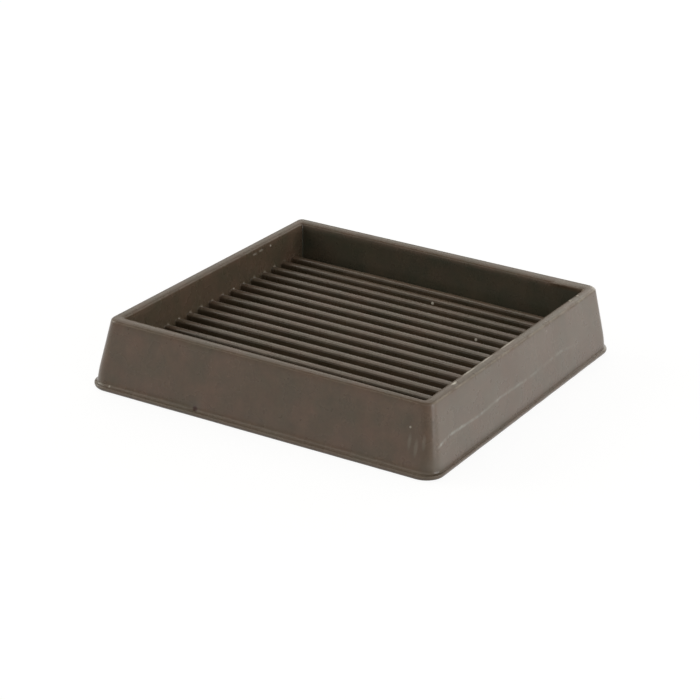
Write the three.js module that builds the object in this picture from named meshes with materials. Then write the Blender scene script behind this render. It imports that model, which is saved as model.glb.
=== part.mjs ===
// Square rubber caster cup: a shallow moulded tray that stands under a caster or a furniture leg.
// Its four walls lean in as they rise, a thin lip runs round the foot where the mould closed, and
// parallel ribs cross the floor of the well to grip what stands on them.
//
// Millimetres, +Z up. The origin is the middle of the underside, and the ribs run along X.

import * as THREE from 'three';

// Overall sizes, over the foot lip and up to the rim
const CUP_LENGTH = 80; // along X, the way the ribs run
const CUP_WIDTH = 80; // along Y, across the ribs
const CUP_HEIGHT = 14.6;

// Foot lip, the trimmed flash where the two halves of the mould met
const LIP_PROTRUSION = 0.6;
const LIP_HEIGHT = 1.1;
const LIP_PLAN_RADIUS = 4.2; // corner of the lip, seen from above
const LIP_EDGE_ROUNDING = 0.25;
const FOOT_EDGE_ROUNDING = 0.7;

// Outer walls, which tighten at the corners on their way up
const OUTER_DRAFT_DEG = 10;
const WALL_FOOT_PLAN_RADIUS = 2.9;
const RIM_PLAN_RADIUS = 2.1;

// Rim and the well inside it
const RIM_WIDTH = 2.4;
const RIM_CROWN = 0.25; // rise of the middle of the rim above its edges
const RIM_EDGE_ROUNDING = 0.4;
const INNER_DRAFT_DEG = 6;
const WELL_RIM_PLAN_RADIUS = 0.6;
const WELL_FLOOR_PLAN_RADIUS = 0.5;
const FLOOR_THICKNESS = 6.45;

// Grip ribs on the floor of the well
const RIB_COUNT = 15;
const RIB_HEIGHT = 1.9;
const RIB_TOP_WIDTH = 1.95; // over the rounded top edges
const RIB_SIDE_DRAFT_DEG = 5;
const RIB_EDGE_ROUNDING = 0.5;
const RIB_END_MARGIN = 3.8; // floor left free between the first rib's foot and the wall beside it

// How finely the round stretches are divided
const PLAN_CORNER_STEPS = 8;
const EDGE_STEPS = 4;

const RUBBER_COLOUR = 0x5c5047;
const RUBBER_ROUGHNESS = 0.72;

const tanDegrees = (angle) => Math.tan(THREE.MathUtils.degToRad(angle));

// Inset of each wall face from the outside of the foot lip, at a height
const outerInset = (z) => LIP_PROTRUSION + (z - LIP_HEIGHT) * tanDegrees(OUTER_DRAFT_DEG);
const wellInset = (z) => outerInset(CUP_HEIGHT) + RIM_WIDTH + (CUP_HEIGHT - z) * tanDegrees(INNER_DRAFT_DEG);

// Half the well's length, where a rib ends, and half its width, at a height
const wellHalfLength = (z) => CUP_LENGTH / 2 - wellInset(z);
const wellHalfWidth = (z) => CUP_WIDTH / 2 - wellInset(z);

function rubber() {
  return new THREE.MeshStandardMaterial({ color: RUBBER_COLOUR, roughness: RUBBER_ROUGHNESS, metalness: 0 });
}

// One corner of a polyline turned into an arc that touches both of its sides.
// Points are THREE.Vector2, and a radius of 0 keeps the sharp corner.
function roundedCorner(before, corner, after, radius) {
  if (radius === 0) return [corner.clone()];
  const toBefore = before.clone().sub(corner).normalize();
  const toAfter = after.clone().sub(corner).normalize();
  const halfAngle = Math.acos(toBefore.dot(toAfter)) / 2;
  const middle = toBefore.clone().add(toAfter).normalize();
  const centre = middle.multiplyScalar(radius / Math.sin(halfAngle)).add(corner);
  const tangentLength = radius / Math.tan(halfAngle);
  const start = toBefore.multiplyScalar(tangentLength).add(corner).sub(centre);
  const end = toAfter.multiplyScalar(tangentLength).add(corner).sub(centre);
  const turn = Math.atan2(start.cross(end), start.dot(end));
  const points = [];
  for (let step = 0; step <= EDGE_STEPS; step += 1) {
    const angle = (turn * step) / EDGE_STEPS;
    points.push(start.clone().rotateAround(new THREE.Vector2(), angle).add(centre));
  }
  return points;
}

// A corner of the section on the crowned top of the rim. Across runs from -1 at its outer edge to 1 at its
// inner edge.
function rimCorner(across, rounding) {
  const share = (across + 1) / 2;
  return {
    inset: THREE.MathUtils.lerp(outerInset(CUP_HEIGHT), wellInset(CUP_HEIGHT), share),
    z: CUP_HEIGHT - RIM_CROWN * across ** 2,
    rounding,
    radius: THREE.MathUtils.lerp(RIM_PLAN_RADIUS, WELL_RIM_PLAN_RADIUS, share),
  };
}

// The wall's section, from the edge of the underside, round the lip, up, over the rim and down to the
// floor of the well. Each corner of it has an inset from the lip, a height, the rounding of its edge and
// the radius of the cup's own corner there, seen from above.
function wallSection() {
  const corners = [
    { inset: 0, z: 0, rounding: FOOT_EDGE_ROUNDING, radius: LIP_PLAN_RADIUS },
    { inset: 0, z: LIP_HEIGHT, rounding: LIP_EDGE_ROUNDING, radius: LIP_PLAN_RADIUS },
    { inset: outerInset(LIP_HEIGHT), z: LIP_HEIGHT, rounding: 0, radius: WALL_FOOT_PLAN_RADIUS },
    rimCorner(-1, RIM_EDGE_ROUNDING),
    rimCorner(-0.5, 0),
    rimCorner(0, 0),
    rimCorner(0.5, 0),
    rimCorner(1, RIM_EDGE_ROUNDING),
    { inset: wellInset(FLOOR_THICKNESS), z: FLOOR_THICKNESS, rounding: 0, radius: WELL_FLOOR_PLAN_RADIUS },
  ];
  const points = corners.map(({ inset, z }) => new THREE.Vector2(inset, z));
  const undersideMiddle = new THREE.Vector2(CUP_WIDTH / 2, 0);
  const floorMiddle = new THREE.Vector2(CUP_WIDTH / 2, FLOOR_THICKNESS);
  return corners.flatMap(({ rounding, radius }, index) => {
    const before = points[index - 1] ?? undersideMiddle;
    const after = points[index + 1] ?? floorMiddle;
    const arc = roundedCorner(before, points[index], after, rounding);
    return arc.map((point) => ({ inset: point.x, z: point.y, radius }));
  });
}

// Outline of the cup seen from above at one point of the section: a rectangle with round corners
function planOutline({ inset, z, radius }) {
  const cornerX = CUP_LENGTH / 2 - inset - radius;
  const cornerY = CUP_WIDTH / 2 - inset - radius;
  const outline = [];
  for (let quarter = 0; quarter < 4; quarter += 1) {
    const sideX = quarter === 0 || quarter === 3 ? 1 : -1;
    const sideY = quarter < 2 ? 1 : -1;
    for (let step = 0; step <= PLAN_CORNER_STEPS; step += 1) {
      const angle = (Math.PI / 2) * (quarter + step / PLAN_CORNER_STEPS);
      const x = sideX * cornerX + radius * Math.cos(angle);
      const y = sideY * cornerY + radius * Math.sin(angle);
      outline.push(new THREE.Vector3(x, y, z));
    }
  }
  return outline;
}

// A closed solid through a row of outlines with equal numbers of points. The flat shape of the outline is
// what the caps over its two ends are divided by.
function loft(outlines, flatShape) {
  const size = outlines[0].length;
  const triangles = [];
  for (let ring = 0; ring + 1 < outlines.length; ring += 1) {
    for (let point = 0; point < size; point += 1) {
      const next = (point + 1) % size;
      const lower = [ring * size + point, ring * size + next];
      const upper = [(ring + 1) * size + point, (ring + 1) * size + next];
      triangles.push(lower[0], lower[1], upper[1], lower[0], upper[1], upper[0]);
    }
  }
  const capTriangles = THREE.ShapeUtils.triangulateShape(flatShape, []);
  const lastRing = (outlines.length - 1) * size;
  for (const [a, b, c] of capTriangles) {
    triangles.push(a, c, b);
    triangles.push(lastRing + a, lastRing + b, lastRing + c);
  }
  const geometry = new THREE.BufferGeometry().setFromPoints(outlines.flat());
  geometry.setIndex(triangles);
  geometry.computeVertexNormals();
  return geometry;
}

// Section of a rib across its length, in Y and Z, standing on the floor with its top edges rounded
function ribSection() {
  const halfTop = RIB_TOP_WIDTH / 2;
  const halfFoot = halfTop + RIB_HEIGHT * tanDegrees(RIB_SIDE_DRAFT_DEG);
  const footLeft = new THREE.Vector2(-halfFoot, 0);
  const footRight = new THREE.Vector2(halfFoot, 0);
  const topRight = new THREE.Vector2(halfTop, RIB_HEIGHT);
  const topLeft = new THREE.Vector2(-halfTop, RIB_HEIGHT);
  return [
    footLeft,
    footRight,
    ...roundedCorner(footRight, topRight, topLeft, RIB_EDGE_ROUNDING),
    ...roundedCorner(topRight, topLeft, footLeft, RIB_EDGE_ROUNDING),
  ];
}

// A rib runs from one leaning side wall to the other, so each of its edges is as long as the well is there
function ribGeometry() {
  const section = ribSection();
  const endOutline = (side) => section.map(({ x: across, y: rise }) => {
    const z = FLOOR_THICKNESS + rise;
    return new THREE.Vector3(side * wellHalfLength(z), across, z);
  });
  return loft([endOutline(-1), endOutline(1)], section);
}

function cupShell() {
  const outlines = wallSection().map(planOutline);
  const shell = new THREE.Mesh(loft(outlines, outlines[0]), rubber());
  shell.name = 'cup_shell';
  return shell;
}

// The row of ribs, evenly spaced between the two walls that they run beside
function floorRibs() {
  const ribs = new THREE.Group();
  const halfFoot = RIB_TOP_WIDTH / 2 + RIB_HEIGHT * tanDegrees(RIB_SIDE_DRAFT_DEG);
  const lastRibY = wellHalfWidth(FLOOR_THICKNESS) - RIB_END_MARGIN - halfFoot;
  for (let index = 0; index < RIB_COUNT; index += 1) {
    const rib = new THREE.Mesh(ribGeometry(), rubber());
    rib.name = `floor_rib_${String(index + 1).padStart(2, '0')}`;
    rib.position.y = THREE.MathUtils.lerp(-lastRibY, lastRibY, index / (RIB_COUNT - 1));
    ribs.add(rib);
  }
  return ribs;
}

const casterCup = new THREE.Group();
casterCup.add(cupShell(), floorRibs());

export default casterCup;
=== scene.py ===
# %% [markdown]
# A square caster cup of brown rubber, the kind that stands under the wheel or the leg of a sofa. The real
# one is pressed in a hot mould in a single shot, so walls, lip and ribs are one skin with small fillets
# wherever two faces meet. This lesson builds that skin as one closed mesh from a few real sizes, gives it
# a rubber finish made only of nodes, and sets it in soft studio light.

# %% Load the frame
import math

import bpy
import numpy as np
from mathutils import Matrix, Vector, noise


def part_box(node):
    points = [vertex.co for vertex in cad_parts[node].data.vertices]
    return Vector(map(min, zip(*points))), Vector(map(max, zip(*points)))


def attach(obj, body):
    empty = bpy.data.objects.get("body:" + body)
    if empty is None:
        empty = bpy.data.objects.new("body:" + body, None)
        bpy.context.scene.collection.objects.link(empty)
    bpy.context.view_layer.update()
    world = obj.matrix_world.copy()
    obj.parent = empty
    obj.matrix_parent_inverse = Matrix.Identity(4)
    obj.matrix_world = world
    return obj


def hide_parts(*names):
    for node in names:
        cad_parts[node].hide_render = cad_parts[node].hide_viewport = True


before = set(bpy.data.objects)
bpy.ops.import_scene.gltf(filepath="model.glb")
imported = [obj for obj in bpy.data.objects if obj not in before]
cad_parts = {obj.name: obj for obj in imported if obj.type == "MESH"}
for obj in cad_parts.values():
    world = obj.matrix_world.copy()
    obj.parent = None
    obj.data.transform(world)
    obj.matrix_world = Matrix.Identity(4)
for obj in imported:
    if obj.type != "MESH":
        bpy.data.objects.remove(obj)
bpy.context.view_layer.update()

MM = 0.001
SHELL = "cup_shell"
RIBS = sorted(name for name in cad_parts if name.startswith("floor_rib_"))
shell_low, shell_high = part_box(SHELL)
print("shell", [round(size / MM, 2) for size in shell_high - shell_low], "mm, ribs", len(RIBS))

# %% [markdown]
# The camera comes first, because it decides what can be seen. Its place was worked out from the straight
# edges of the cup: it stands half a metre away, a little to the right and above, with a long lens, so the
# far wall is hardly smaller than the near one. The camera leans two degrees, and a small shift of the lens
# puts the cup where the photograph has it.

# %% Camera
AZIMUTH = math.radians(29.48)
ELEVATION = math.radians(23.24)
LEAN = math.radians(2.07)
DISTANCE = 483.2 * MM
SENSOR_WIDTH = 36.0
LENS = 119.74
SHIFT = (-0.01035, 0.0251)
NEAREST_SEEN = 10 * MM


def place_camera():
    back = Vector((math.sin(AZIMUTH) * math.cos(ELEVATION), -math.cos(AZIMUTH) * math.cos(ELEVATION),
                   math.sin(ELEVATION)))
    level_right = (-back).cross(Vector((0, 0, 1))).normalized()
    level_up = level_right.cross(-back)
    right = math.cos(LEAN) * level_right + math.sin(LEAN) * level_up
    up = math.cos(LEAN) * level_up - math.sin(LEAN) * level_right
    lens = bpy.data.cameras.new("camera")
    lens.sensor_width = SENSOR_WIDTH
    lens.lens = LENS
    lens.shift_x, lens.shift_y = SHIFT
    lens.clip_start = NEAREST_SEEN
    camera = bpy.data.objects.new("camera", lens)
    turn = Matrix((right, up, back)).transposed()
    camera.matrix_world = Matrix.Translation(back * DISTANCE) @ turn.to_4x4()
    bpy.context.scene.collection.objects.link(camera)
    bpy.context.scene.camera = camera
    return camera


camera = place_camera()
print("camera at", [round(value, 3) for value in camera.location])

# %% [markdown]
# Next come three small helpers that every material uses. Colours are written as the hex values that an eye
# would pick, and one function turns them into the linear light that a renderer adds up. Another adds a
# shader node, sets its sockets and links its inputs, so that a material reads as a short list. The third
# makes an empty material to add them to.


# %% Helpers for materials
def linear(hex_colour):
    """Linear red, green, blue and alpha of an sRGB hex colour, by the curve of the sRGB standard."""
    channels = [int(hex_colour[start:start + 2], 16) / 255 for start in (1, 3, 5)]
    return tuple(c / 12.92 if c <= 0.04045 else ((c + 0.055) / 1.055) ** 2.4 for c in channels) + (1.0,)


def add(tree, kind, inputs=(), **settings):
    """Adds a node. inputs maps a socket's name or number to a value, or to the output socket to link."""
    node = tree.nodes.new(kind)
    for name, value in settings.items():
        setattr(node, name, value)
    for socket, value in dict(inputs).items():
        if isinstance(value, bpy.types.NodeSocket):
            tree.links.new(value, node.inputs[socket])
        else:
            node.inputs[socket].default_value = value
    return node


def new_material(name):
    material = bpy.data.materials.new(name)
    material.use_nodes = True
    material.node_tree.nodes.clear()
    return material, material.node_tree


print("mid grey in linear light", round(linear("#808080")[0], 3))

# %% [markdown]
# The floor is a sheet of pale studio paper. The photograph's own background is white, so for the camera and
# for reflections most of the paper's white is a glow of its own. The rest is its real shading, so that the
# cup still has its soft shadow. A sheet that curves up behind the object is usual in a studio, but a flat
# one that reaches to the horizon does the same from every side.

# %% Floor
FLOOR_SIZE = 12.0
PAPER_COLOUR = "#f7f7f7"
PAPER_GLOW = 0.915
SHADED_COLOUR = "#6c6c6c"


def paper_material():
    material, tree = new_material("studio_paper")
    paper = add(tree, "ShaderNodeBsdfDiffuse", {"Color": linear(PAPER_COLOUR)})
    glow = add(tree, "ShaderNodeEmission", {"Strength": PAPER_GLOW})
    shaded = add(tree, "ShaderNodeBsdfDiffuse", {"Color": linear(SHADED_COLOUR)})
    seen = add(tree, "ShaderNodeAddShader", {0: glow.outputs[0], 1: shaded.outputs[0]})
    path = add(tree, "ShaderNodeLightPath")
    eye = add(tree, "ShaderNodeMath", {0: path.outputs["Is Camera Ray"], 1: path.outputs["Is Glossy Ray"]},
              operation="MAXIMUM")
    eye_or_glass = add(tree, "ShaderNodeMath", {0: eye.outputs[0], 1: path.outputs["Is Transmission Ray"]},
                       operation="MAXIMUM")
    surface = add(tree, "ShaderNodeMixShader",
                  {0: eye_or_glass.outputs[0], 1: paper.outputs[0], 2: seen.outputs[0]})
    add(tree, "ShaderNodeOutputMaterial", {"Surface": surface.outputs[0]})
    return material


def lay_floor():
    half = FLOOR_SIZE / 2
    corners = [(-half, -half, 0), (half, -half, 0), (half, half, 0), (-half, half, 0)]
    mesh = bpy.data.meshes.new("floor")
    mesh.from_pydata(corners, [], [(0, 1, 2, 3)])
    mesh.materials.append(paper_material())
    floor = bpy.data.objects.new("floor", mesh)
    bpy.context.scene.collection.objects.link(floor)


lay_floor()
print("floor", FLOOR_SIZE, "m square")

# %% [markdown]
# Soft studio light. A pale sweep of paper stands all round, brightest some way above the horizon, and the
# rim and the ribs mirror it. Higher up the room is dark, which keeps the inside of the cup dark too. It
# could be a picture of a studio wrapped round the scene, but a ramp over the height of the sky says the
# same in a few numbers. Panels do the rest: the right wall has its own, and the others are a little warmer.

# %% Light
SKY = [(0, 0.06), (8, 0.06), (20, 1.42), (40, 0.1), (90, 0.03)]
WARM_LIGHT = "#fffcf3"
DAYLIGHT = "#fdfeff"
PANEL_DISTANCE = 1.2
PANEL_SIZE = 0.8


def set_stops(ramp, stops):
    """Gives a colour ramp its stops, each a place from 0 to 1 and a colour."""
    elements = ramp.color_ramp.elements
    while len(elements) < len(stops):
        elements.new(1.0)
    for element, (place, colour) in zip(elements, stops):
        element.position = place
        element.color = colour


def light_world():
    """SKY lists an elevation in degrees and the brightness of the surroundings at that height."""
    world = bpy.data.worlds.new("studio")
    world.use_nodes = True
    tree = world.node_tree
    tree.nodes.clear()
    direction = add(tree, "ShaderNodeTexCoord").outputs["Generated"]
    rise = add(tree, "ShaderNodeSeparateXYZ", {0: direction}).outputs["Z"]
    ramp = add(tree, "ShaderNodeValToRGB", {0: rise})
    set_stops(ramp, [(math.sin(math.radians(elevation)), [brightness * part for part in linear(WARM_LIGHT)])
                     for elevation, brightness in SKY])
    sweep = add(tree, "ShaderNodeBackground", {"Color": ramp.outputs["Color"]})
    add(tree, "ShaderNodeOutputWorld", {"Surface": sweep.outputs[0]})
    bpy.context.scene.world = world


def add_panel(name, azimuth, elevation, power, colour=WARM_LIGHT):
    """A square panel lamp that faces the cup. Azimuth is measured as the camera's is, from the front."""
    lamp = bpy.data.lights.new(name, "AREA")
    lamp.shape = "SQUARE"
    lamp.size = PANEL_SIZE
    lamp.energy = power
    lamp.color = linear(colour)[:3]
    panel = bpy.data.objects.new(name, lamp)
    turn, rise = math.radians(azimuth), math.radians(elevation)
    away = Vector((math.sin(turn) * math.cos(rise), -math.cos(turn) * math.cos(rise), math.sin(rise)))
    panel.location = away * PANEL_DISTANCE
    panel.rotation_euler = away.to_track_quat("Z", "Y").to_euler()
    bpy.context.scene.collection.objects.link(panel)


light_world()
add_panel("panel_right", azimuth=97, elevation=4, power=7.2, colour=DAYLIGHT)
add_panel("panel_left", azimuth=285, elevation=25, power=4.8)
add_panel("panel_top", azimuth=215, elevation=60, power=2.6)
add_panel("panel_back", azimuth=178, elevation=10, power=3.8)
bpy.context.scene.view_settings.view_transform = "Standard"
print("lamps", sorted(lamp.name for lamp in bpy.data.lights))

# %% [markdown]
# Now the cup itself. On the real one every edge is a small arc, because a mould is cut with round tools.
# It could be made from boxes and a bevel, but a bevel breaks where ribs run into a leaning wall. So the
# skin is written out directly: the wall's section is carried round the cup as a stack of rings, and the
# ribbed floor is a grid whose rows are the points of the ribs' own section. Both share the points where
# they meet, so the mesh is closed and has no seams.

# %% Sizes of the moulding
HALF = shell_high.x / MM
HEIGHT = shell_high.z / MM
rib_low, rib_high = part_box(RIBS[0])
FLOOR_Z = rib_low.z / MM
RIB_TOP_Z = rib_high.z / MM
RIB_FOOT_HALF = (rib_high.y - rib_low.y) / 2 / MM
rib_middles = [(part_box(name)[0].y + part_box(name)[1].y) / 2 / MM for name in RIBS]

LIP_PROTRUSION = 0.6
LIP_HEIGHT = 1.1
OUTER_DRAFT = math.radians(10)
RIM_WIDTH = 2.4
INNER_DRAFT = math.radians(6)
WELL_FLOOR_PLAN_RADIUS = 0.15

wall_foot_half = HALF - LIP_PROTRUSION
rim_half = wall_foot_half - (HEIGHT - LIP_HEIGHT) * math.tan(OUTER_DRAFT)
well_rim_half = rim_half - RIM_WIDTH
well_floor_half = well_rim_half - (HEIGHT - FLOOR_Z) * math.tan(INNER_DRAFT)
straight_half = well_floor_half - WELL_FLOOR_PLAN_RADIUS
print("rim", round(2 * rim_half, 2), "opening", round(2 * well_rim_half, 2),
      "floor", round(2 * well_floor_half, 2))

# %% [markdown]
# The ribs' section comes first, because its points decide where the rows of the floor run. A rib rises
# from a small fillet in the groove, leans in as it goes up and rolls over a round edge to its top, which is
# a little higher in the middle. So the back of each rib mirrors the bright backdrop and its front does not.
# One rib repeated by an Array modifier would only stand on the floor, where these grow out of it.

# %% Section of the ribs
RIB_DRAFT = math.radians(5)
RIB_CROWN = 0.2
RIB_EDGE = 0.3
RIB_FILLET = 0.3
FILLET_STEPS = 3
EDGE_STEPS = 5
TOP_STEPS = 3
FLAT_STEP = 1.0


def arc(centre, radius, start, end, steps):
    """Points on an arc, from one angle to another in degrees."""
    x, y = centre
    angles = np.radians(np.linspace(start, end, steps + 1))
    return [(x + radius * math.cos(angle), y + radius * math.sin(angle)) for angle in angles]


def half_rib():
    """(across, z) from the middle of the rib's top down to the groove, on the side of +Y."""
    lean = math.degrees(RIB_DRAFT)
    height = RIB_TOP_Z - FLOOR_Z
    top_half = RIB_FOOT_HALF - height * math.tan(RIB_DRAFT)
    edge_centre_y = top_half - RIB_EDGE * math.tan(math.radians(45 - lean / 2))
    top = [(y, RIB_TOP_Z) for y in np.linspace(0, edge_centre_y, TOP_STEPS + 1)[:-1]]
    edge = arc((edge_centre_y, RIB_TOP_Z - RIB_EDGE), RIB_EDGE, 90, lean, EDGE_STEPS)
    crown = [(y, z - RIB_CROWN * (y / top_half) ** 2) for y, z in top + edge]
    root_centre_y = RIB_FOOT_HALF + RIB_FILLET * math.tan(math.radians(45 - lean / 2))
    root = arc((root_centre_y, FLOOR_Z + RIB_FILLET), RIB_FILLET, 180 + lean, 270, FILLET_STEPS)
    return crown + root


def groove(start, end):
    """Rows on the flat floor between two places, without the places themselves."""
    steps = math.ceil((end - start) / FLAT_STEP)
    return [(y, FLOOR_Z) for y in np.linspace(start, end, steps + 1)[1:-1]]


def floor_rows():
    """(y, z) of every row of the floor, from the front of its straight part to the back."""
    back_half = half_rib()
    section = [(-y, z) for y, z in reversed(back_half)] + back_half[1:]
    rows = [(-straight_half, FLOOR_Z)]
    for middle in rib_middles:
        rib = [(middle + y, z) for y, z in section]
        rows += groove(rows[-1][0], rib[0][0]) + rib
    rows += groove(rows[-1][0], straight_half) + [(straight_half, FLOOR_Z)]
    return np.array(rows)


rows = floor_rows()
print("floor rows", len(rows), "rising", bool(np.all(np.diff(rows[:, 0]) > 0)))

# %% [markdown]
# A ring round the cup is a square with round corners. Each station on it keeps two things: where it sits
# along the straight part, and which way it faces. Any ring is then one sum of the two, however large its
# square and however round its corners, so all rings have matching points.

# %% Stations round the cup
COLUMNS = 90
CORNER_STEPS = 9
columns = np.linspace(-1, 1, COLUMNS + 1)
row_places = rows[:, 0] / straight_half
grid = np.arange(len(rows) * len(columns)).reshape(len(rows), len(columns))
level = np.full(len(columns), FLOOR_Z)


def side_stations(fixed_axis, sign, places, heights, grid_numbers):
    """Stations along one straight side: place, facing, floor height and the floor point next to it."""
    along = np.full((len(places), 2), float(sign))
    along[:, 1 - fixed_axis] = places
    facing = np.zeros((len(places), 2))
    facing[:, fixed_axis] = sign
    return along, facing, heights, grid_numbers


def corner_stations(start_degrees, signs, grid_number):
    """Stations round one corner, which all lie next to the same point of the floor."""
    angles = np.radians(start_degrees + np.linspace(0, 90, CORNER_STEPS + 1)[1:-1])
    facing = np.column_stack([np.cos(angles), np.sin(angles)])
    along = np.tile(np.array(signs, float), (len(angles), 1))
    return along, facing, np.full(len(angles), FLOOR_Z), np.full(len(angles), grid_number)


stretches = [
    side_stations(1, -1, columns, level, grid[0]),
    corner_stations(-90, (1, -1), grid[0, -1]),
    side_stations(0, 1, row_places, rows[:, 1], grid[:, -1]),
    corner_stations(0, (1, 1), grid[-1, -1]),
    side_stations(1, 1, columns[::-1], level, grid[-1, ::-1]),
    corner_stations(90, (-1, 1), grid[-1, 0]),
    side_stations(0, -1, row_places[::-1], rows[::-1, 1], grid[::-1, 0]),
    corner_stations(180, (-1, -1), grid[0, 0]),
]
along, facing, floor_height, grid_beside = (np.concatenate(column) for column in zip(*stretches))


def ring(half, radius, z):
    """One ring of points in millimetres. half, radius and z are numbers, or one number for each station."""
    half, radius, z = (np.broadcast_to(np.asarray(value, float), len(along)) for value in (half, radius, z))
    flat = along * (half - radius)[:, None] + facing * radius[:, None]
    return np.column_stack([flat, z])


print("stations", len(along))

# %% [markdown]
# The lip at the foot is flash: rubber that crept between the two halves of the mould and was trimmed off
# by hand, so it is not equally wide all round. It stands proud at the front and on the left, and is cut
# closer on the other two sides, with a little wander along its length. A Displace modifier could give the
# wander, but it would move the wall as well, so each station keeps its own cut.

# %% Trimmed lip
CLOSE_TRIM = 0.13
TRIM_WANDER = 0.07
WANDER_LENGTH = 7.0


def lip_trim():
    """How far the lip is cut back from its full width at each station."""
    closeness = np.clip((facing[:, 0] + facing[:, 1] + 1) / 2, 0, 1)
    places = along * HALF / WANDER_LENGTH
    wander = np.array([noise.noise(Vector((x, y, 0))) for x, y in places])
    return CLOSE_TRIM * closeness + TRIM_WANDER * np.abs(wander)


trim = lip_trim()
print("lip trimmed by", round(trim.min(), 2), "to", round(trim.max(), 2), "mm")

# %% [markdown]
# The wall's section is carried round in rings: under the foot, round the lip, up the leaning outside, over
# the rim and down into the well. At a corner, foot, lip and ledge turn round one centre, and above them the
# wall eases into a corner of its own, so that no face folds over its neighbour. The top of the rim is a
# little higher in its middle than at its edges, which is why its shine fades from one side to the other.
# Its far left corner is sharper than the rest. Each ring also notes how pale it is drawn, most on the
# rounded edges: partly wear, partly a painted highlight where the light catches them.

# %% Rings of the outside
FOOT_EDGE = 0.7
LIP_EDGE = 0.25
LIP_PLAN_RADIUS = 4.2
LEDGE_FLAT = 0.02
LEDGE_FILLET = 0.4
LEDGE_STRETCH = 2.5
WALL_FOOT_PLAN_RADIUS = 2.9
OUTER_WALL_STEPS = 16
CORNER_EASE = 3.0
RIM_PLAN_RADIUS = 2.1
SHARP_CORNER_RADIUS = 1.0
RIM_EDGE = 0.4
RIM_CROWN = 0.25
# Pale wear with a painted highlight on the rounded edges of rim and lip.
RIM_WEAR_AND_HIGHLIGHT = 1.0
LIP_WEAR_AND_HIGHLIGHT = 0.2
corner_middle = HALF - LIP_PLAN_RADIUS


def worn_and_highlighted(steps, most):
    """Wear and painted highlight across a rounded edge: most in the middle of its arc, none at its ends."""
    return most * np.sin(np.linspace(0, math.pi, steps + 1))


def crowned(section):
    """Points of the rim's section, lowered towards its two edges."""
    middle = rim_half - RIM_WIDTH / 2
    return [(half, z - RIM_CROWN * ((half - middle) / (RIM_WIDTH / 2)) ** 2) for half, z in section]


def rim_radius():
    """Radius of the rim's corners at each station, eased along the sides to the sharp one."""
    sharpness = (1 - along[:, 0]) / 2 * (1 + along[:, 1]) / 2
    return RIM_PLAN_RADIUS + sharpness * (SHARP_CORNER_RADIUS - RIM_PLAN_RADIUS)


def outer_wall(ledge, rim_edge):
    """Half width and height of the outside between lip and rim, one number for each station.

    The fillet on the ledge is drawn out upwards. It shrinks where the trimmed lip leaves it less room.
    """
    flat_end = LIP_PROTRUSION - trim - LIP_EDGE - LEDGE_FLAT
    room = np.clip(flat_end / (ledge[0][0] - wall_foot_half), 0, 1)
    rise = room * LEDGE_STRETCH
    fillet = []
    for half, z in ledge:
        up = (z - LIP_HEIGHT) * rise
        on_wall = wall_foot_half - up * math.tan(OUTER_DRAFT)
        fillet.append((on_wall + room * (half - wall_foot_half), LIP_HEIGHT + up))
    foot = np.array(fillet[-1])
    top = np.array(rim_edge[0])[:, None]
    shares = np.linspace(0, 1, OUTER_WALL_STEPS + 1)[1:-1]
    return fillet + [foot + share * (top - foot) for share in shares]


def outer_rings():
    """Rings from the underside's edge to the top of the rim, and the wear and painted highlight of each."""
    foot = arc((HALF - FOOT_EDGE, FOOT_EDGE), FOOT_EDGE, -90, 0, EDGE_STEPS)
    lip = arc((HALF - LIP_EDGE, LIP_HEIGHT - LIP_EDGE), LIP_EDGE, 0, 90, EDGE_STEPS)
    lean = math.degrees(OUTER_DRAFT)
    ledge_x = wall_foot_half + LEDGE_FILLET * math.tan(math.radians(45 - lean / 2))
    ledge = arc((ledge_x, LIP_HEIGHT + LEDGE_FILLET), LEDGE_FILLET, 270, 180 + lean, FILLET_STEPS)
    rim_x = rim_half - RIM_EDGE * math.tan(math.radians(45 + lean / 2))
    rim_edge = crowned(arc((rim_x, HEIGHT - RIM_EDGE), RIM_EDGE, lean, 90, EDGE_STEPS))
    wall = outer_wall(ledge, rim_edge)
    rings = [ring(half - trim, half - trim - corner_middle, z) for half, z in foot + lip]
    radius_at_rim = rim_radius()
    for half, z in wall + rim_edge:
        share = (z - LIP_HEIGHT) / (HEIGHT - LIP_HEIGHT)
        own_radius = WALL_FOOT_PLAN_RADIUS + share * (radius_at_rim - WALL_FOOT_PLAN_RADIUS)
        eased = np.clip((z - LIP_HEIGHT) / CORNER_EASE, 0, 1)
        ledge_radius = half - corner_middle
        rings.append(ring(half, ledge_radius + eased * (own_radius - ledge_radius), z))
    wear_and_highlight = np.concatenate([np.zeros(len(foot)), worn_and_highlighted(EDGE_STEPS, LIP_WEAR_AND_HIGHLIGHT),
                           np.zeros(len(wall)), worn_and_highlighted(EDGE_STEPS, RIM_WEAR_AND_HIGHLIGHT)])
    return rings, wear_and_highlight.tolist()


outer, outer_wear_and_highlight = outer_rings()
print("outer rings", len(outer))

# %% [markdown]
# The well is shaped by the core, the other half of the mould. On this cup the core sat a little off and was
# not quite square itself: the ribs and the front rim's inner edge are slewed, so that rim is wider at its
# left end, and the back rim is the widest of the four. A shift, a slew, a slight bow and a push at the
# back, all of about a millimetre or less, do that.

# %% Rings of the well
WELL_RIM_PLAN_RADIUS = 0.2
WELL_FILLET = 0.1
INNER_WALL_STEPS = 12
RIM_STEPS = 6
CORE_SHIFT_AT_RIM = 0.1
CORE_SHIFT_AT_FLOOR = -0.1
CORE_SLEW = math.tan(math.radians(-0.9))
CORE_BOW = 0.1
BACK_START = 30.5
BACK_PUSH = -0.8
BACK_SLEW = 0.008


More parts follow.
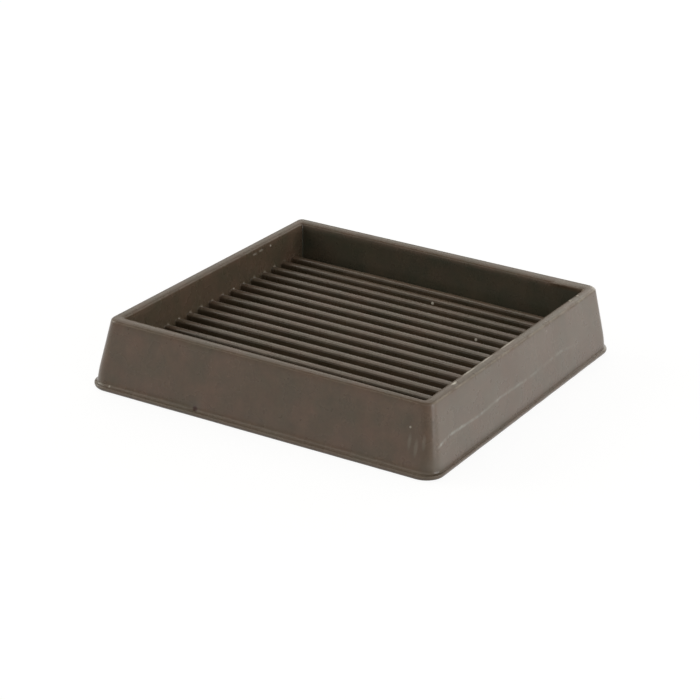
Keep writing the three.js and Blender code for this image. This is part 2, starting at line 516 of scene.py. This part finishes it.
def askew(points):
    """Points of the well, moved the way the core was off."""
    rise = (points[:, 2] - FLOOR_Z) / (HEIGHT - FLOOR_Z)
    shift = CORE_SHIFT_AT_FLOOR + rise * (CORE_SHIFT_AT_RIM - CORE_SHIFT_AT_FLOOR)
    bow = CORE_BOW * (1 - 2 * (points[:, 0] / well_rim_half) ** 2)
    near_back = np.clip((points[:, 1] - BACK_START) / (well_floor_half - BACK_START), 0, 1)
    slew = CORE_SLEW * points[:, 0]
    push = near_back * (BACK_PUSH + BACK_SLEW * points[:, 0])
    moved = points.copy()
    moved[:, 1] += shift + bow + slew + push
    return moved


def well_half(z):
    """Half the width of the well at a height."""
    return well_rim_half - (HEIGHT - z) * math.tan(INNER_DRAFT)


def inner_rings():
    """Rings from the top of the rim down to the floor, and the wear and painted highlight of each."""
    lean = math.degrees(INNER_DRAFT)
    rim_x = well_rim_half + RIM_EDGE * math.tan(math.radians(45 + lean / 2))
    rim_edge = crowned(arc((rim_x, HEIGHT - RIM_EDGE), RIM_EDGE, 90, 180 - lean, EDGE_STEPS))
    rings = [ring(half, WELL_RIM_PLAN_RADIUS + half - well_rim_half, z) for half, z in rim_edge]
    wall_top = rim_edge[-1][1]
    wall_foot = floor_height + WELL_FILLET
    foot_radius = well_half(wall_foot) - straight_half
    for share in np.linspace(0, 1, INNER_WALL_STEPS + 1)[1:]:
        z = wall_top + share * (wall_foot - wall_top)
        radius = WELL_RIM_PLAN_RADIUS + share * (foot_radius - WELL_RIM_PLAN_RADIUS)
        rings.append(ring(well_half(z), radius, z))
    for angle in np.radians(np.linspace(0, 90, FILLET_STEPS + 1)[1:]):
        z = floor_height + WELL_FILLET * (1 - math.sin(angle))
        half = well_half(wall_foot) - WELL_FILLET * (1 - math.cos(angle))
        rings.append(ring(half, half - straight_half, z))
    wear_and_highlight = np.concatenate([worn_and_highlighted(EDGE_STEPS, RIM_WEAR_AND_HIGHLIGHT), np.zeros(INNER_WALL_STEPS + FILLET_STEPS)])
    return [askew(points) for points in rings], wear_and_highlight.tolist()


def rim_rings(outer_edge, inner_edge):
    """The crowned top of the rim, between the last ring outside and the first inside.

    start and end say how far those two rings are from the middle of the crown, whose half width is 1.
    """
    rings = []
    start, end = (math.sqrt((HEIGHT - edge[0, 2]) / RIM_CROWN) for edge in (outer_edge, inner_edge))
    for share in np.linspace(0, 1, RIM_STEPS + 1)[1:-1]:
        points = outer_edge + share * (inner_edge - outer_edge)
        points[:, 2] = HEIGHT - RIM_CROWN * (start - share * (start + end)) ** 2
        rings.append(points)
    return rings


inner, inner_wear_and_highlight = inner_rings()
rim = rim_rings(outer[-1], inner[0])
rings = outer + rim + inner
ring_wear_and_highlight = outer_wear_and_highlight + [0.0] * len(rim) + inner_wear_and_highlight
print("rings", len(rings))

# %% [markdown]
# Floor and rings become one list of points, and the faces are numbered ring by ring. The first face is the
# flat underside. The strip between the last ring and the floor follows the links that the stations kept.


# %% Points and faces of the skin
def skin_faces(ring_count, grid_start):
    """The point numbers of every face: underside, walls, the strip round the floor, and the floor."""
    count = len(along)
    here = np.arange(count)
    after = np.roll(here, -1)
    faces = [tuple(here[::-1].tolist())]
    for number in range(ring_count - 1):
        low, high = number * count, (number + 1) * count
        faces += np.column_stack([low + here, low + after, high + after, high + here]).tolist()
    last = (ring_count - 1) * count
    for a, b in zip(here.tolist(), after.tolist()):
        beside_a, beside_b = grid_start + int(grid_beside[a]), grid_start + int(grid_beside[b])
        edge = [last + a, last + b]
        faces.append(edge + [beside_a] if beside_a == beside_b else edge + [beside_b, beside_a])
    cells = grid_start + grid
    faces += np.column_stack([cells[:-1, :-1].ravel(), cells[:-1, 1:].ravel(),
                              cells[1:, 1:].ravel(), cells[1:, :-1].ravel()]).tolist()
    return faces


def floor_points():
    """Points of the ribbed floor, row by row from the front."""
    across, lengthwise = np.meshgrid(columns * straight_half, rows[:, 0])
    heights = np.repeat(rows[:, 1], len(columns))
    return askew(np.column_stack([across.ravel(), lengthwise.ravel(), heights]))


points = np.vstack(rings + [floor_points()])
faces = skin_faces(len(rings), len(rings) * len(along))
print("points", len(points), "faces", len(faces))

# %% [markdown]
# A cup that has been handled is nicked. Pulling it off the core tears specks out of the thin rim, there is
# a pit at the foot of the front wall, and a strip of flash still stands along the back rim near its right
# end. A boolean could carve these, but it leaves ragged faces. So a dent is pressed into the points around
# it, and it is there from every side and not only as a spot of colour.

# %% Dents and flash
NICK_DEPTH = (0, 0, -0.18)
PIT_DEPTH = (0, 0.3, 0)
DENTS = [
    ((35.55, -25.5, 14.55), 0.55, NICK_DEPTH),
    ((35.3, 26.1, 14.5), 0.35, NICK_DEPTH),
    ((35.25, 29.75, 14.5), 0.4, NICK_DEPTH),
    ((-14.1, -39.2, 1.6), 0.6, PIT_DEPTH),
]
FLASH_START, FLASH_END = 27.7, 38.0
FLASH_REACH = 0.5
FLASH_ROOT = 35.3
FLASH_DEPTH = 0.4


def press_dents(points):
    """DENTS lists the middle of each dent, its radius, and how far and which way it is pressed."""
    for middle, radius, push in DENTS:
        away = np.linalg.norm(points - np.array(middle), axis=1)
        points += np.exp(-(away / radius) ** 2)[:, None] * np.array(push)


def pull_flash(points):
    """The strip of flash stands into the well, most at the end where it tore, less towards the corner."""
    left_over = np.clip((FLASH_END - points[:, 0]) / (FLASH_END - FLASH_START), 0, 1)
    not_torn = points[:, 0] > FLASH_START
    in_opening = np.clip(well_rim_half - points[:, 0], 0, 1)
    below_edge = np.clip(1 - (HEIGHT - RIM_CROWN - points[:, 2]) / FLASH_DEPTH, 0, 1)
    past_root = np.clip(FLASH_ROOT - points[:, 1], 0, 1) * (points[:, 1] > BACK_START)
    pull = left_over * not_torn * in_opening * below_edge * past_root
    points[:, 1] -= FLASH_REACH * pull
    return pull


press_dents(points)
flash = pull_flash(points)
print("dents", len(DENTS), "highest point", round(points[:, 2].max(), 3), "mm")

# %% [markdown]
# The finish needs to know where on the cup it is, so the mesh carries four numbers at every point. They
# could be painted by hand, but every point knows its ring and its station, so they can be worked out. The
# first is wear and painted highlight. On the rounded edges of rim and lip, most of all on the right, it is
# partly wear and partly a painted highlight. Along the tops of the ribs and the edge of the flash strip it
# paints a highlight, and where the far halves of the ribs' ends meet the wall it paints small glints.

# %% Wear and painted highlight of each point
SIDES = {"right": (1, 0), "left": (-1, 0), "back": (0, 1), "front": (0, -1)}
# Wear with a painted highlight on the edges, most on the right side, which the lamp lights.
SIDE_WEAR_AND_HIGHLIGHT = {"right": 0.9, "left": 0.15, "back": 0.2, "front": 0.2}
# A painted highlight along the tops of the ribs.
RIB_WEAR_AND_HIGHLIGHT = 0.4
RIB_HIGHLIGHT_DROP = 0.15
# Painted glints where the rib ends meet the wall.
RIB_END_GLINT = 1.0
# A painted highlight on the edge of the flash strip.
FLASH_HIGHLIGHT = 0.2
station_count = len(along)


def by_side(strengths):
    """One number for each station, eased round the corners from side to side."""
    return sum(strengths[side] * np.clip(facing @ np.array(way), 0, 1) ** 2 for side, way in SIDES.items())


def wear_and_highlight_of_points():
    on_rings = np.outer(ring_wear_and_highlight, by_side(SIDE_WEAR_AND_HIGHLIGHT))
    past_middle = along[:, 1:] * straight_half - np.array(rib_middles)
    far_half = np.any((past_middle > 0) & (past_middle < RIB_FOOT_HALF), axis=1)
    at_rib_end = far_half & (floor_height > RIB_TOP_Z - RIB_EDGE)
    on_rings[-FILLET_STEPS - 1:, at_rib_end] = RIB_END_GLINT
    floor_heights = points[len(rings) * station_count:, 2]
    on_ribs = RIB_WEAR_AND_HIGHLIGHT * np.exp(-((RIB_TOP_Z - floor_heights - RIB_HIGHLIGHT_DROP) / RIB_HIGHLIGHT_DROP) ** 2)
    return np.maximum(np.concatenate([on_rings.ravel(), on_ribs]), FLASH_HIGHLIGHT * flash)


wear_and_highlight = wear_and_highlight_of_points()
print("most wear", round(wear_and_highlight.max(), 2))

# %% [markdown]
# Bloom is the pale film of wax that comes out of rubber with age. Here the pale coat also paints light: it
# lies thickest on the outside of the right wall, as a painted sheen where the lamp and the bright floor
# light it, less on the rim and not at all in the well, which stays darker. Dust on the lip is counted with
# it, and along the ledge, most at the front, this coat also paints a pale line of highlight.

# %% Bloom and painted sheen of each point
# Pale bloom with a painted sheen, most on the right wall, which the lamp and the bright floor light.
SIDE_BLOOM_AND_SHEEN = {"right": 1.0, "left": 0.45, "back": 0.55, "front": 0.06}
RIM_BLOOM_AND_SHEEN = {"right": 0.5, "left": 0.3, "back": 0.35, "front": 0.3}
BLOOM_AND_SHEEN_START = 0.8
BLOOM_AND_SHEEN_RISE = 1.6
# Partly dust and partly a painted highlight along the ledge above the lip, most at the front.
LEDGE_DUST_AND_HIGHLIGHT = {"right": 0.1, "left": 0.4, "back": 0.2, "front": 1.1}
DUST_AND_HIGHLIGHT_FADE = 0.6
ring_number = np.minimum(np.arange(len(points)) // station_count, len(rings))


def round_the_cup(values):
    """Numbers of the stations, repeated for every ring. The floor's points get none."""
    padded = np.zeros(len(points))
    padded[:len(rings) * station_count] = np.tile(values, len(rings))
    return padded


def bloom_and_sheen_of_points():
    above_lip = np.clip((points[:, 2] - BLOOM_AND_SHEEN_START) / BLOOM_AND_SHEEN_RISE, 0, 1) * (ring_number < len(outer))
    on_rim = (ring_number >= len(outer) - EDGE_STEPS) & (ring_number < len(outer) + len(rim))
    bloom_and_sheen = round_the_cup(by_side(SIDE_BLOOM_AND_SHEEN)) * above_lip
    above_foot = (ring_number > EDGE_STEPS) & (ring_number < len(outer))
    dust_and_highlight = above_foot * np.exp(-((points[:, 2] - LIP_HEIGHT) / DUST_AND_HIGHLIGHT_FADE) ** 2)
    bloom_and_sheen = np.maximum(bloom_and_sheen, round_the_cup(by_side(LEDGE_DUST_AND_HIGHLIGHT)) * dust_and_highlight)
    return np.where(on_rim, round_the_cup(by_side(RIM_BLOOM_AND_SHEEN)), bloom_and_sheen)


bloom_and_sheen = bloom_and_sheen_of_points()
print("most bloom", round(bloom_and_sheen.max(), 2))

# %% [markdown]
# Two darker coats are left. The first is painted shade with an olive tint on the walls of the well,
# deepest in its corners. The second is painted shade alone: in the grooves between the ribs, in the crease
# above the lip, and as a painted contact shadow on the round edge of the foot.

# %% Painted shade of each point
# Painted shade with an olive tint on the walls of the well, and more in its corners.
WELL_GRIME_AND_SHADE = {"right": 0.4, "left": 0.3, "back": 0.74, "front": 0.4}
CORNER_SHADE = 0.6
GRIME_AND_SHADE_DEPTH = 0.7
# Painted shade: a contact shadow at the foot, the crease above the lip and the grooves between the ribs.
FOOT_SHADOW = 0.5
CREASE_SHADE = {"right": 0.3, "left": 0.1, "back": 0.3, "front": 0.0}
CREASE_FADE = 0.5
GROOVE_SHADE = 0.9
foot_and_lip_rings = 2 * (EDGE_STEPS + 1)


def grime_and_shade_of_points():
    below_rim = np.clip((HEIGHT - RIM_EDGE - points[:, 2]) / GRIME_AND_SHADE_DEPTH, 0, 1)
    in_well = ring_number >= len(outer) + len(rim)
    in_corner = CORNER_SHADE * np.abs(2 * facing[:, 0] * facing[:, 1])
    return round_the_cup(by_side(WELL_GRIME_AND_SHADE) + in_corner) * below_rim * in_well


def painted_shade_of_points():
    height = points[:, 2]
    foot = FOOT_SHADOW * np.clip(1 - height / FOOT_EDGE, 0, 1) * (ring_number <= EDGE_STEPS)
    above_lip = (ring_number >= foot_and_lip_rings) & (ring_number < len(outer))
    near_lip = np.exp(-np.abs(height - LIP_HEIGHT) / CREASE_FADE) * above_lip
    crease = round_the_cup(by_side(CREASE_SHADE)) * near_lip
    on_floor = ring_number == len(rings)
    grooves = GROOVE_SHADE * np.clip((RIB_TOP_Z - height) / RIB_EDGE, 0, 1) * on_floor
    return np.maximum.reduce([foot, crease, grooves])


traces = {"wear_and_highlight": wear_and_highlight, "bloom_and_sheen": bloom_and_sheen, "grime_and_shade": grime_and_shade_of_points(), "painted_shade": painted_shade_of_points()}
print({name: (round(values.min(), 2), round(values.max(), 2)) for name, values in traces.items()})

# %% [markdown]
# Now the list of points becomes a mesh, shaded smooth because every edge has its own arc of points. A
# bmesh could take the faces one by one, but from_pydata takes the whole list at once. The four numbers are
# stored on the mesh as attributes, which a material can read by name.


# %% Moulded cup
def make_cup():
    mesh = bpy.data.meshes.new("moulded_cup")
    mesh.from_pydata((points * MM).tolist(), [], faces)
    mesh.polygons.foreach_set("use_smooth", [True] * len(mesh.polygons))
    for name, values in traces.items():
        mesh.attributes.new(name, "FLOAT", "POINT").data.foreach_set("value", values)
    cup = bpy.data.objects.new("moulded_cup", mesh)
    bpy.context.scene.collection.objects.link(cup)
    return cup


cup = make_cup()
print("cup faces", len(cup.data.polygons))

# %% [markdown]
# The rubber is a filled natural rubber, brown and dense, pressed in a steel mould. Rubber drinks light, so
# its colour is dark, and its skin has a dull gloss that only shows where it mirrors something bright. Close
# up the brown is not even: it drifts between warm and olive over some millimetres, and the flow of the hot
# rubber up the walls left faint upright streaks. Noise at the size of each of these, in millimetres, gives
# that without any picture.

# %% Uneven brown
WARM_BROWN = "#655041"
OLIVE_BROWN = "#574b3b"
DRIFT_SIZE = 5.0
UNEVENNESS = [
    ("streaks of the flow", 1.2, (1, 1, 0.08), 0.045),
    ("patches", 3.5, (1, 1, 1), 0.05),
    ("specks", 0.5, (1, 1, 1), 0.07),
]
NOISE_LOW, NOISE_HIGH = 0.3, 0.7
SOFT_DETAIL = 2
# A Mix node has sockets for numbers, vectors and colours under the same names, so colours go by number.
MIX_A, MIX_B, MIX_RESULT = 6, 7, 2


def millimetres(tree):
    """The place on the object, in millimetres, for patterns to be laid out in."""
    metres = add(tree, "ShaderNodeTexCoord").outputs["Object"]
    return add(tree, "ShaderNodeVectorMath", {0: metres, "Scale": 1 / MM}, operation="SCALE").outputs[0]


def uneven_brown(tree, place):
    """UNEVENNESS lists what it is, its size, how it is stretched and how much lighter or darker it is."""
    drift = add(tree, "ShaderNodeTexNoise",
                {"Vector": place, "Scale": 1 / DRIFT_SIZE, "Detail": SOFT_DETAIL})
    share = add(tree, "ShaderNodeMapRange",
                {"Value": drift.outputs[0], "From Min": NOISE_LOW, "From Max": NOISE_HIGH})
    brown = add(tree, "ShaderNodeMix",
                {0: share.outputs[0], MIX_A: linear(WARM_BROWN), MIX_B: linear(OLIVE_BROWN)},
                data_type="RGBA").outputs[MIX_RESULT]
    for label, size, stretch, amount in UNEVENNESS:
        stretched = add(tree, "ShaderNodeVectorMath", {0: place, 1: stretch}, operation="MULTIPLY")
        pattern = add(tree, "ShaderNodeTexNoise",
                      {"Vector": stretched.outputs[0], "Scale": 1 / size, "Detail": SOFT_DETAIL},
                      label=label)
        shade = add(tree, "ShaderNodeMapRange",
                    {"Value": pattern.outputs[0], "From Min": NOISE_LOW, "From Max": NOISE_HIGH,
                     "To Min": 1 - amount, "To Max": 1 + amount})
        brown = add(tree, "ShaderNodeVectorMath", {0: brown, "Scale": shade.outputs[0]},
                    operation="SCALE").outputs[0]
    return brown


print("layers of unevenness", len(UNEVENNESS) + 1)

# %% [markdown]
# Over the brown lie four coats, each paler or darker by how much the mesh says. They are partly traces of
# use and partly painted light and shade. The film of bloom and painted sheen is patchy, as if wiped by
# fingers. Worn edges and painted highlights are lighter, in short stretches. Painted shade with an olive
# tint dulls the walls of the well, and painted shade darkens the grooves, the crease above the lip and the
# foot.

# %% Coats of bloom and sheen, wear and highlights, and painted shade
# The two pale colours paint sheen and highlights as well as bloom and wear; the two dark ones paint shade.
BLOOM_AND_SHEEN_COLOUR = "#a9a096"
WORN_AND_HIGHLIGHT_COLOUR = "#998d7f"
GRIME_AND_SHADE_COLOUR = "#1f322b"
PAINTED_SHADE_COLOUR = "#2a2413"
COATS = [
    ("bloom_and_sheen", BLOOM_AND_SHEEN_COLOUR, 0.21, 10.0, 0.75),
    ("wear_and_highlight", WORN_AND_HIGHLIGHT_COLOUR, 0.6, 2.5, 0.25),
    ("grime_and_shade", GRIME_AND_SHADE_COLOUR, 0.7, 7.0, 0.7),
    ("painted_shade", PAINTED_SHADE_COLOUR, 0.7, 7.0, 0.7),
]
PATCHY_DETAIL = 3


def coated(tree, place, colour):
    """COATS lists each coat's attribute, colour and cover, and the size and evenness of its patches."""
    for trace, coat_colour, cover, patch_size, evenness in COATS:
        amount = add(tree, "ShaderNodeAttribute", attribute_name=trace).outputs["Fac"]
        patches = add(tree, "ShaderNodeTexNoise",
                      {"Vector": place, "Scale": 1 / patch_size, "Detail": PATCHY_DETAIL})
        thickness = add(tree, "ShaderNodeMapRange",
                        {"Value": patches.outputs[0], "From Min": NOISE_LOW, "From Max": NOISE_HIGH,
                         "To Min": cover * evenness, "To Max": cover * (2 - evenness)})
        share = add(tree, "ShaderNodeMath", {0: amount, 1: thickness.outputs[0]}, operation="MULTIPLY",
                    use_clamp=True)
        colour = add(tree, "ShaderNodeMix",
                     {0: share.outputs[0], MIX_A: colour, MIX_B: linear(coat_colour)},
                     data_type="RGBA").outputs[MIX_RESULT]
    return colour


print("coats", [coat[0] for coat in COATS])

# %% [markdown]
# Last come single marks. A pale scuff runs along the middle of the right wall, broken and not quite
# straight, as from the edge of a drawer. Torn rubber shows light where the rim is nicked, there are a few
# crumbs, and the pit at the foot of the front wall is darkened with painted shade. They could be painted on
# a picture, but a mark needs no more than a place and a radius, and a stretch along the cup where it is a
# scratch.

# %% Scuff and single marks
SCUFF = [
    (-36.5, 5.9, 0.0), (-35.2, 6.1, 0.95), (-34.0, 6.4, 0.6), (-31.5, 6.75, 1.0), (-29.0, 6.65, 0.7),
    (-26.7, 6.6, 1.0), (-25.0, 6.5, 0.5), (-19.3, 6.35, 0.65), (-10.8, 6.8, 0.6), (2.4, 6.55, 0.5),
    (10.0, 6.85, 0.25), (16.3, 7.1, 0.4), (23.3, 6.3, 0.15), (30.0, 6.4, 0.0),
]
SCUFF_HALF_WIDTH = 0.4
SCUFF_BREAK = 1.5
SCUFF_COLOUR = "#b6b7af"
TORN_COLOUR = "#e2dbcf"
PIT_SHADE_COLOUR = "#3a1a10"
SCRATCH = (1, 0.08, 1)
DASH = (1, 0.3, 1)
SMEAR = (1, 1, 0.15)
ROUND = (1, 1, 1)
SOLID_PART = 0.5
MARKS = [
    (TORN_COLOUR, 0.9, DASH, 0.4, [(35.55, -25.5, 14.4)]),
    (TORN_COLOUR, 0.8, ROUND, 0.4, [(35.3, 26.1, 14.4), (35.25, 29.75, 14.4)]),
    (TORN_COLOUR, 0.6, SCRATCH, 0.35, [(35.35, -18.6, 14.4), (35.3, -12.0, 14.4), (35.3, -2.5, 14.4)]),
    (TORN_COLOUR, 0.22, DASH, 0.3, [(-34.5, 14.1, 13.3), (-34.5, 16.6, 13.4)]),
    (TORN_COLOUR, 0.55, ROUND, 0.3, [(37.3, 11.3, 13.2), (33.2, -37.9, 9.5), (-34.6, -39.5, 1.4),
                                     (-34.5, 20.5, 13.35)]),
    (TORN_COLOUR, 0.8, ROUND, 0.4, [(21.6, 10.85, 7.7), (4.5, 23.6, 7.7)]),
    (SCUFF_COLOUR, 0.12, SMEAR, 0.5, [(33.4, -38.4, 7.6), (34.9, -38.5, 6.0), (36.4, -38.2, 8.0)]),
    # Painted shade darkens the pit.
    (PIT_SHADE_COLOUR, 0.95, ROUND, 0.7, [(-14.1, -39.1, 1.6)]),
]


def scuffed(tree, place, colour):
    """SCUFF lists points of the scuff: how far back it is, its height and how much it covers there."""
    axes = add(tree, "ShaderNodeSeparateXYZ", {0: place}).outputs
    length = add(tree, "ShaderNodeMapRange", {"Value": axes["Y"], "From Min": -HALF, "From Max": HALF})
    ramp = add(tree, "ShaderNodeValToRGB", {0: length.outputs[0]})
    set_stops(ramp, [((y + HALF) / (2 * HALF), (z / HEIGHT, cover, 0, 1)) for y, z, cover in SCUFF])
    drawn = add(tree, "ShaderNodeSeparateColor", {0: ramp.outputs["Color"]}).outputs
    height = add(tree, "ShaderNodeMath", {0: drawn["Red"], 1: HEIGHT}, operation="MULTIPLY")
    off_line = add(tree, "ShaderNodeMath", {0: axes["Z"], 1: height.outputs[0]}, operation="SUBTRACT")
    distance = add(tree, "ShaderNodeMath", {0: off_line.outputs[0]}, operation="ABSOLUTE")
    line = add(tree, "ShaderNodeMapRange",
               {"Value": distance.outputs[0], "From Max": SCUFF_HALF_WIDTH, "To Min": 1, "To Max": 0})
    breaks = add(tree, "ShaderNodeTexNoise",
                 {"Vector": place, "Scale": 1 / SCUFF_BREAK, "Detail": PATCHY_DETAIL})
    whole = add(tree, "ShaderNodeMapRange",
                {"Value": breaks.outputs[0], "From Min": NOISE_LOW, "From Max": NOISE_HIGH})
    on_right = add(tree, "ShaderNodeMath", {0: axes["X"], 1: rim_half}, operation="GREATER_THAN")
    share = drawn["Green"]
    for limit in (line, whole, on_right):
        product = add(tree, "ShaderNodeMath", {0: share, 1: limit.outputs[0]}, operation="MULTIPLY")
        share = product.outputs[0]
    return add(tree, "ShaderNodeMix", {0: share, MIX_A: colour, MIX_B: linear(SCUFF_COLOUR)},
               data_type="RGBA").outputs[MIX_RESULT]


def marked(tree, place, colour):
    """MARKS lists a colour, its cover, how the marks are stretched, their radius and their middles."""
    for mark_colour, cover, stretch, radius, centres in MARKS:
        for centre in centres:
            offset = add(tree, "ShaderNodeVectorMath", {0: place, 1: centre}, operation="SUBTRACT")
            drawn = add(tree, "ShaderNodeVectorMath", {0: offset.outputs[0], 1: stretch},
                        operation="MULTIPLY")
            away = add(tree, "ShaderNodeVectorMath", {0: drawn.outputs[0]}, operation="LENGTH")
            share = add(tree, "ShaderNodeMapRange",
                        {"Value": away.outputs["Value"], "From Min": radius * SOLID_PART,
                         "From Max": radius, "To Min": cover, "To Max": 0})
            colour = add(tree, "ShaderNodeMix",
                         {0: share.outputs[0], MIX_A: colour, MIX_B: linear(mark_colour)},
                         data_type="RGBA").outputs[MIX_RESULT]
    return colour


print("marks", sum(len(mark[-1]) for mark in MARKS))

# %% [markdown]
# Rubber has an IOR of about 1.5, and fresh from the mould a roughness of about a half. Use has polished
# this cup, so its own is lower, and it varies as the colour does, between satin and a duller satin. The
# skin has the fine grain of the blasted mould. As real bumps in the mesh the grain would take millions of
# faces, so a Bump node lets the light fall as if they were there. The real grain is about a tenth of a
# millimetre, too fine to show at this distance, so it is drawn about four times as coarse. A second, slower
# wave stands for the slight sinking of thick rubber as it cools.

# %% Gloss and grain
RUBBER_IOR = 1.5
GLOSS_SIZE = 4.0
SATIN, DULL_SATIN = 0.25, 0.31
RELIEF = [(0.45, 0.003), (5.0, 0.01)]


def gloss(tree, place):
    patches = add(tree, "ShaderNodeTexNoise",
                  {"Vector": place, "Scale": 1 / GLOSS_SIZE, "Detail": PATCHY_DETAIL})
    return add(tree, "ShaderNodeMapRange",
               {"Value": patches.outputs[0], "From Min": NOISE_LOW, "From Max": NOISE_HIGH,
                "To Min": SATIN, "To Max": DULL_SATIN}).outputs[0]


def relief(tree, place):
    """Normals of the grain and of the slow waves. RELIEF lists the size and the height of each."""
    normal = None
    for size, height in RELIEF:
        waves = add(tree, "ShaderNodeTexNoise",
                    {"Vector": place, "Scale": 1 / size, "Detail": SOFT_DETAIL})
        bump = add(tree, "ShaderNodeBump", {"Height": waves.outputs[0], "Distance": height * MM})
        if normal:
            tree.links.new(normal, bump.inputs["Normal"])
        normal = bump.outputs[0]
    return normal


def rubber_material():
    material, tree = new_material("moulded_brown_rubber")
    place = millimetres(tree)
    colour = marked(tree, place, scuffed(tree, place, coated(tree, place, uneven_brown(tree, place))))
    rubber = add(tree, "ShaderNodeBsdfPrincipled",
                 {"Base Color": colour, "Roughness": gloss(tree, place), "IOR": RUBBER_IOR,
                  "Normal": relief(tree, place)})
    add(tree, "ShaderNodeOutputMaterial", {"Surface": rubber.outputs[0]})
    return material


cup.data.materials.append(rubber_material())
print("rubber nodes", len(cup.data.materials[0].node_tree.nodes))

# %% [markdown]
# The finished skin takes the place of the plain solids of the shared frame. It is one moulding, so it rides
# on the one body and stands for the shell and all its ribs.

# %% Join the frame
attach(cup, "root")
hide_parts(SHELL, *RIBS)
print("replaced", 1 + len(RIBS), "solids")
